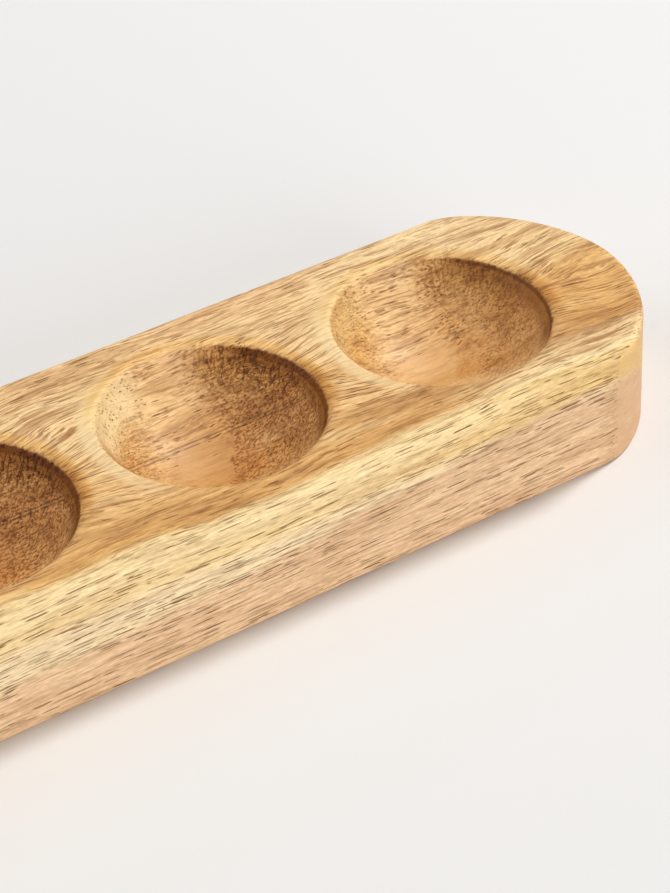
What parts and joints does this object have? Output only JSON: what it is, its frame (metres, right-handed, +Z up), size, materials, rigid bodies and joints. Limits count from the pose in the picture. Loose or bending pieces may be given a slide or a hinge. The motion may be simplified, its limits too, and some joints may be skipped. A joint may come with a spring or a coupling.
{
  "type": "egg tray",
  "caption": "Long, round-ended wooden tray with a single row of bowl-shaped wells, each holding one egg on a worktop or table.",
  "frame": {"origin": "middle of the flat underside", "axes": "+X along the row of wells, +Y across the tray, +Z up out of the wells"},
  "size_m": [0.4144, 0.0754, 0.029],
  "materials": {
    "oiled_hardwood": "oiled, satin, with open grain"
  },
  "bodies": {
    "root": {"tray_body": "oiled_hardwood"}
  },
  "joints": []
}
